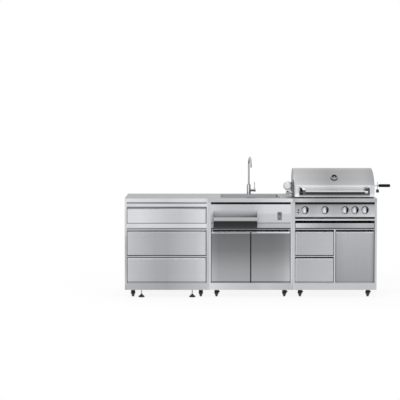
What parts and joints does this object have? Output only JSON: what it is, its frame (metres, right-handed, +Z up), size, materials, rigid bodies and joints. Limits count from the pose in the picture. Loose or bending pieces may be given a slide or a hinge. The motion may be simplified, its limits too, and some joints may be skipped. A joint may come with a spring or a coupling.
{
  "type": "outdoor kitchen island",
  "caption": "Stainless outdoor kitchen island on casters: drawer cabinet, sink cabinet with faucet and bottle rail, and gas grill cabinet with rotisserie.",
  "frame": {"origin": "on the floor, under the middle of the whole island", "axes": "+X along the island to the right seen from the front, +Y to the back, +Z up; fronts face -Y"},
  "size_m": [2.5606, 0.695, 1.327],
  "materials": {
    "steel_cabinet": "fine vertical brushed stainless steel",
    "steel_front": "fine horizontal brushed stainless steel",
    "steel_worktop": "brushed stainless steel, lengthwise",
    "steel_sink": "satin stainless steel",
    "steel_lid": "brushed stainless steel with a polished crease",
    "chrome_parts": "polished",
    "cast_parts": "matt black enamel",
    "black_parts": "matt black moulded",
    "wheel_rubber": "black tread",
    "motor_shell": "light grey satin"
  },
  "bodies": {
    "root": {"drawer_cabinet": "steel_cabinet", "drawer_worktop": "steel_worktop", "sink_cabinet": "steel_cabinet", "sink_worktop": "steel_worktop", "sink_bowl": "steel_sink", "sink_strainer": "chrome_parts", "bottle_rail": "steel_front", "bottle_opener": "chrome_parts", "faucet_body": "chrome_parts", "grill_cabinet": "steel_cabinet", "grill_surround": "steel_worktop", "firebox": "steel_sink", "burner_set": "cast_parts", "cooking_grate": "cast_parts", "warming_rack": "chrome_parts", "control_panel": "steel_front", "rotisserie_motor": "motor_shell"},
    "drawer_top": {"drawer_top": "steel_front"},
    "drawer_middle": {"drawer_middle": "steel_front"},
    "drawer_bottom": {"drawer_bottom": "steel_front"},
    "grill_drawer_upper": {"grill_drawer_upper": "steel_front"},
    "grill_drawer_lower": {"grill_drawer_lower": "steel_front"},
    "sink_door_left": {"sink_door_left": "steel_front"},
    "sink_door_right": {"sink_door_right": "steel_front"},
    "grill_door": {"grill_door": "steel_front"},
    "lid": {"lid": "steel_lid", "lid_handle": "chrome_parts", "lid_thermometer": "chrome_parts"},
    "knob_1": {"knob_1": "chrome_parts"},
    "knob_2": {"knob_2": "chrome_parts"},
    "knob_3": {"knob_3": "chrome_parts"},
    "knob_4": {"knob_4": "chrome_parts"},
    "knob_5": {"knob_5": "chrome_parts"},
    "igniter_button": {"igniter_button": "black_parts"},
    "light_button": {"light_button": "black_parts"},
    "faucet_spout": {"faucet_spout": "chrome_parts"},
    "faucet_lever": {"faucet_lever": "chrome_parts"},
    "spit": {"spit_rod": "chrome_parts", "spit_counterweight": "cast_parts"},
    "drip_tray": {"drip_tray": "steel_front"},
    "levelling_foot_left": {"levelling_foot_left": "black_parts"},
    "levelling_foot_right": {"levelling_foot_right": "black_parts"},
    "caster_fork_drawer_left": {"caster_fork_drawer_left": "black_parts"},
    "front_wheel_drawer_left": {"front_wheel_drawer_left": "wheel_rubber"},
    "rear_wheel_drawer_left": {"rear_wheel_drawer_left": "wheel_rubber"},
    "caster_fork_drawer_right": {"caster_fork_drawer_right": "black_parts"},
    "front_wheel_drawer_right": {"front_wheel_drawer_right": "wheel_rubber"},
    "rear_wheel_drawer_right": {"rear_wheel_drawer_right": "wheel_rubber"},
    "caster_fork_sink_left": {"caster_fork_sink_left": "black_parts"},
    "front_wheel_sink_left": {"front_wheel_sink_left": "wheel_rubber"},
    "rear_wheel_sink_left": {"rear_wheel_sink_left": "wheel_rubber"},
    "caster_fork_sink_right": {"caster_fork_sink_right": "black_parts"},
    "front_wheel_sink_right": {"front_wheel_sink_right": "wheel_rubber"},
    "rear_wheel_sink_right": {"rear_wheel_sink_right": "wheel_rubber"},
    "caster_fork_grill_left": {"caster_fork_grill_left": "black_parts"},
    "front_wheel_grill_left": {"front_wheel_grill_left": "wheel_rubber"},
    "rear_wheel_grill_left": {"rear_wheel_grill_left": "wheel_rubber"},
    "caster_fork_grill_right": {"caster_fork_grill_right": "black_parts"},
    "front_wheel_grill_right": {"front_wheel_grill_right": "wheel_rubber"},
    "rear_wheel_grill_right": {"rear_wheel_grill_right": "wheel_rubber"}
  },
  "joints": [
    {"name": "drawer_top_slide", "type": "slide", "parent": "root", "child": "drawer_top", "axis": [0, -1, 0], "range_m": [0, 0.45]},
    {"name": "drawer_middle_slide", "type": "slide", "parent": "root", "child": "drawer_middle", "axis": [0, -1, 0], "range_m": [0, 0.45]},
    {"name": "drawer_bottom_slide", "type": "slide", "parent": "root", "child": "drawer_bottom", "axis": [0, -1, 0], "range_m": [0, 0.45]},
    {"name": "grill_drawer_upper_slide", "type": "slide", "parent": "root", "child": "grill_drawer_upper", "axis": [0, -1, 0], "range_m": [0, 0.45]},
    {"name": "grill_drawer_lower_slide", "type": "slide", "parent": "root", "child": "grill_drawer_lower", "axis": [0, -1, 0], "range_m": [0, 0.45]},
    {"name": "sink_door_left_hinge", "type": "hinge", "parent": "root", "child": "sink_door_left", "pos_m": [-0.446, -0.2465, 0.4], "axis": [0, 0, -1], "range_deg": [0, 95]},
    {"name": "sink_door_right_hinge", "type": "hinge", "parent": "root", "child": "sink_door_right", "pos_m": [0.286, -0.2465, 0.4], "axis": [0, 0, 1], "range_deg": [0, 95]},
    {"name": "grill_door_hinge", "type": "hinge", "parent": "root", "child": "grill_door", "pos_m": [1.0863, -0.2465, 0.4], "axis": [0, 0, 1], "range_deg": [0, 95]},
    {"name": "lid_hinge", "type": "hinge", "parent": "root", "child": "lid", "pos_m": [0.7203, 0.2475, 0.99], "axis": [-1, 0, 0], "range_deg": [0, 85]},
    {"name": "knob_1_turn", "type": "hinge", "parent": "root", "child": "knob_1", "pos_m": [0.4373, -0.257, 0.838], "axis": [0, -1, 0], "range_deg": [0, 180]},
    {"name": "knob_2_turn", "type": "hinge", "parent": "root", "child": "knob_2", "pos_m": [0.6273, -0.257, 0.838], "axis": [0, -1, 0], "range_deg": [0, 180]},
    {"name": "knob_3_turn", "type": "hinge", "parent": "root", "child": "knob_3", "pos_m": [0.8173, -0.257, 0.838], "axis": [0, -1, 0], "range_deg": [0, 180]},
    {"name": "knob_4_turn", "type": "hinge", "parent": "root", "child": "knob_4", "pos_m": [0.9123, -0.257, 0.838], "axis": [0, -1, 0], "range_deg": [0, 180]},
    {"name": "knob_5_turn", "type": "hinge", "parent": "root", "child": "knob_5", "pos_m": [1.0073, -0.257, 0.838], "axis": [0, -1, 0], "range_deg": [0, 180]},
    {"name": "igniter_press", "type": "slide", "parent": "root", "child": "igniter_button", "axis": [0, 1, 0], "range_m": [0, 0.003], "stiffness_N_per_m": 300},
    {"name": "light_press", "type": "slide", "parent": "root", "child": "light_button", "axis": [0, 1, 0], "range_m": [0, 0.003], "stiffness_N_per_m": 300},
    {"name": "spout_swivel", "type": "hinge", "parent": "root", "child": "faucet_spout", "pos_m": [-0.08, 0.2775, 1.0453], "axis": [0, 0, 1], "range_deg": [-90, 90]},
    {"name": "faucet_lever_turn", "type": "hinge", "parent": "root", "child": "faucet_lever", "pos_m": [-0.0337, 0.2775, 0.99], "axis": [1, 0, 0], "range_deg": [0, 90]},
    {"name": "spit_turn", "type": "hinge", "parent": "root", "child": "spit", "pos_m": [0.7203, -0.0025, 1.054], "axis": [1, 0, 0], "continuous": true},
    {"name": "drip_tray_slide", "type": "slide", "parent": "root", "child": "drip_tray", "axis": [0, -1, 0], "range_m": [0, 0.35]},
    {"name": "foot_left_screw", "type": "slide", "parent": "root", "child": "levelling_foot_left", "axis": [0, 0, 1], "range_m": [0, 0.02]},
    {"name": "foot_right_screw", "type": "slide", "parent": "root", "child": "levelling_foot_right", "axis": [0, 0, 1], "range_m": [0, 0.02]},
    {"name": "caster_swivel_drawer_left", "type": "hinge", "parent": "root", "child": "caster_fork_drawer_left", "pos_m": [-1.2053, -0.1825, 0.0747], "axis": [0, 0, 1], "continuous": true},
    {"name": "front_wheel_spin_drawer_left", "type": "hinge", "parent": "caster_fork_drawer_left", "child": "front_wheel_drawer_left", "pos_m": [-1.2053, -0.1685, 0.025], "axis": [1, 0, 0], "continuous": true},
    {"name": "rear_wheel_spin_drawer_left", "type": "hinge", "parent": "root", "child": "rear_wheel_drawer_left", "pos_m": [-1.2053, 0.2375, 0.025], "axis": [1, 0, 0], "continuous": true},
    {"name": "caster_swivel_drawer_right", "type": "hinge", "parent": "root", "child": "caster_fork_drawer_right", "pos_m": [-0.5553, -0.1825, 0.0747], "axis": [0, 0, 1], "continuous": true},
    {"name": "front_wheel_spin_drawer_right", "type": "hinge", "parent": "caster_fork_drawer_right", "child": "front_wheel_drawer_right", "pos_m": [-0.5553, -0.1685, 0.025], "axis": [1, 0, 0], "continuous": true},
    {"name": "rear_wheel_spin_drawer_right", "type": "hinge", "parent": "root", "child": "rear_wheel_drawer_right", "pos_m": [-0.5553, 0.2375, 0.025], "axis": [1, 0, 0], "continuous": true},
    {"name": "caster_swivel_sink_left", "type": "hinge", "parent": "root", "child": "caster_fork_sink_left", "pos_m": [-0.405, -0.1825, 0.0747], "axis": [0, 0, 1], "continuous": true},
    {"name": "front_wheel_spin_sink_left", "type": "hinge", "parent": "caster_fork_sink_left", "child": "front_wheel_sink_left", "pos_m": [-0.405, -0.1685, 0.025], "axis": [1, 0, 0], "continuous": true},
    {"name": "rear_wheel_spin_sink_left", "type": "hinge", "parent": "root", "child": "rear_wheel_sink_left", "pos_m": [-0.405, 0.2375, 0.025], "axis": [1, 0, 0], "continuous": true},
    {"name": "caster_swivel_sink_right", "type": "hinge", "parent": "root", "child": "caster_fork_sink_right", "pos_m": [0.245, -0.1825, 0.0747], "axis": [0, 0, 1], "continuous": true},
    {"name": "front_wheel_spin_sink_right", "type": "hinge", "parent": "caster_fork_sink_right", "child": "front_wheel_sink_right", "pos_m": [0.245, -0.1685, 0.025], "axis": [1, 0, 0], "continuous": true},
    {"name": "rear_wheel_spin_sink_right", "type": "hinge", "parent": "root", "child": "rear_wheel_sink_right", "pos_m": [0.245, 0.2375, 0.025], "axis": [1, 0, 0], "continuous": true},
    {"name": "caster_swivel_grill_left", "type": "hinge", "parent": "root", "child": "caster_fork_grill_left", "pos_m": [0.3953, -0.1825, 0.0747], "axis": [0, 0, 1], "continuous": true},
    {"name": "front_wheel_spin_grill_left", "type": "hinge", "parent": "caster_fork_grill_left", "child": "front_wheel_grill_left", "pos_m": [0.3953, -0.1685, 0.025], "axis": [1, 0, 0], "continuous": true},
    {"name": "rear_wheel_spin_grill_left", "type": "hinge", "parent": "root", "child": "rear_wheel_grill_left", "pos_m": [0.3953, 0.2375, 0.025], "axis": [1, 0, 0], "continuous": true},
    {"name": "caster_swivel_grill_right", "type": "hinge", "parent": "root", "child": "caster_fork_grill_right", "pos_m": [1.0453, -0.1825, 0.0747], "axis": [0, 0, 1], "continuous": true},
    {"name": "front_wheel_spin_grill_right", "type": "hinge", "parent": "caster_fork_grill_right", "child": "front_wheel_grill_right", "pos_m": [1.0453, -0.1685, 0.025], "axis": [1, 0, 0], "continuous": true},
    {"name": "rear_wheel_spin_grill_right", "type": "hinge", "parent": "root", "child": "rear_wheel_grill_right", "pos_m": [1.0453, 0.2375, 0.025], "axis": [1, 0, 0], "continuous": true}
  ]
}
